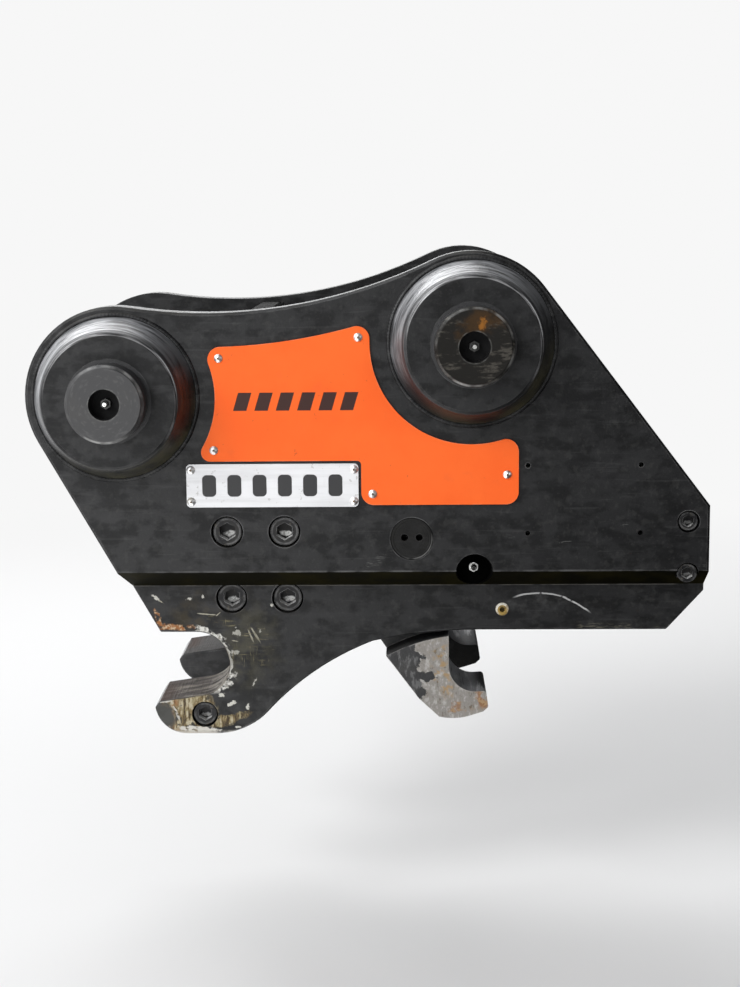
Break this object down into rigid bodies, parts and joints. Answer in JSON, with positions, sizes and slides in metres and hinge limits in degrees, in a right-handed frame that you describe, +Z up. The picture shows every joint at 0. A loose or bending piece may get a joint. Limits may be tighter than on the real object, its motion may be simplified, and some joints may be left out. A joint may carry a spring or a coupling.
{
  "type": "quick coupler",
  "caption": "Pin-grabber quick coupler for an excavator: side plates with two machine pins, a fixed rear-facing hook and a hydraulic swinging hook that lock a bucket's pins.",
  "frame": {"origin": "axis of the fixed hook's pin seat, midway between the side plates", "axes": "+X towards the movable hook and the rear end, +Y from the badge side to the other side, +Z up towards the machine's pins"},
  "size_m": [0.8199, 0.568, 0.5979],
  "materials": {
    "plate_black": "semi-gloss, scuffed",
    "pin_black": "worn semi-gloss",
    "hook_casting": "worn paint over cast steel",
    "cylinder_black": "semi-gloss",
    "valve_steel": "zinc plated",
    "rod_chrome": "polished",
    "bush_bronze": "turned",
    "washer_nylon": "matt",
    "pin_steel": "ground",
    "spring_steel": "blackened",
    "screw_black": "black oxide",
    "bolt_zinc": "zinc plated",
    "rivet_steel": "dull",
    "plug_brass": "worn",
    "badge_orange": "gloss",
    "number_grey": "satin",
    "seal_rubber": "matt"
  },
  "bodies": {
    "frame": {"ear_plate_near": "plate_black", "ear_plate_far": "plate_black", "hook_plate_near": "plate_black", "hook_plate_far": "plate_black", "arm_boss_near": "plate_black", "arm_boss_far": "plate_black", "link_boss_near": "plate_black", "link_boss_far": "plate_black", "jaw_block_near": "plate_black", "jaw_block_far": "plate_black", "front_cross_block": "plate_black", "rear_cross_block": "plate_black", "front_saddle_plate": "plate_black", "rear_saddle_plate": "plate_black", "arm_pin": "pin_black", "link_pin": "pin_black", "arm_pin_collar": "pin_black", "link_pin_collar": "pin_black", "hook_stop_shaft": "pin_black", "arm_bush_near": "bush_bronze", "arm_bush_far": "bush_bronze", "link_bush_near": "bush_bronze", "link_bush_far": "bush_bronze", "thrust_washer_near": "washer_nylon", "thrust_washer_far": "washer_nylon", "hook_pivot_pin": "pin_steel", "barrel_pin": "pin_steel", "barrel_pin_rings": "spring_steel", "front_block_screws_near": "screw_black", "front_block_screws_far": "screw_black", "rear_block_screws_near": "screw_black", "rear_block_screws_far": "screw_black", "jaw_screw_near": "screw_black", "jaw_screw_far": "screw_black", "pin_collar_bolts": "bolt_zinc", "pin_nipples": "bolt_zinc", "pivot_nipple_near": "bolt_zinc", "pivot_nipple_far": "bolt_zinc", "number_plate_rivets": "rivet_steel", "badge_plate_rivets": "rivet_steel", "oil_plug": "plug_brass", "badge_plate": "badge_orange", "number_plate": "number_grey"},
    "hook": {"movable_hook": "hook_casting", "hook_bush_near": "bush_bronze", "hook_bush_far": "bush_bronze", "rod_pin": "pin_steel", "rod_pin_rings": "spring_steel"},
    "barrel": {"barrel_end_cap": "cylinder_black", "barrel_tube": "cylinder_black", "rod_gland": "cylinder_black", "barrel_bush": "bush_bronze", "lock_valve_block": "valve_steel", "valve_cartridge": "bolt_zinc", "valve_screws": "bolt_zinc", "rod_wiper": "seal_rubber"},
    "rod": {"piston_rod": "rod_chrome", "piston": "pin_steel", "piston_seal": "seal_rubber", "rod_eye": "cylinder_black"}
  },
  "joints": [
    {"name": "hook_swing", "type": "hinge", "parent": "frame", "child": "hook", "pos_m": [0.3435, 0, 0.123], "axis": [0, -1, 0], "range_deg": [-6, 22]},
    {"name": "barrel_swing", "type": "hinge", "parent": "frame", "child": "barrel", "pos_m": [0.572, 0, 0.15], "axis": [0, -1, 0], "range_deg": [-0.8, 2.8]},
    {"name": "rod_slide", "type": "slide", "parent": "barrel", "child": "rod", "axis": [-0.9693, 0, 0.246], "range_m": [-0.0085, 0.0305]}
  ],
  "couplings": [
    {"joint": "barrel_swing", "follows": "hook_swing", "ratio": 0.12413},
    {"joint": "rod_slide", "follows": "hook_swing", "m_per_rad": 0.078758}
  ]
}
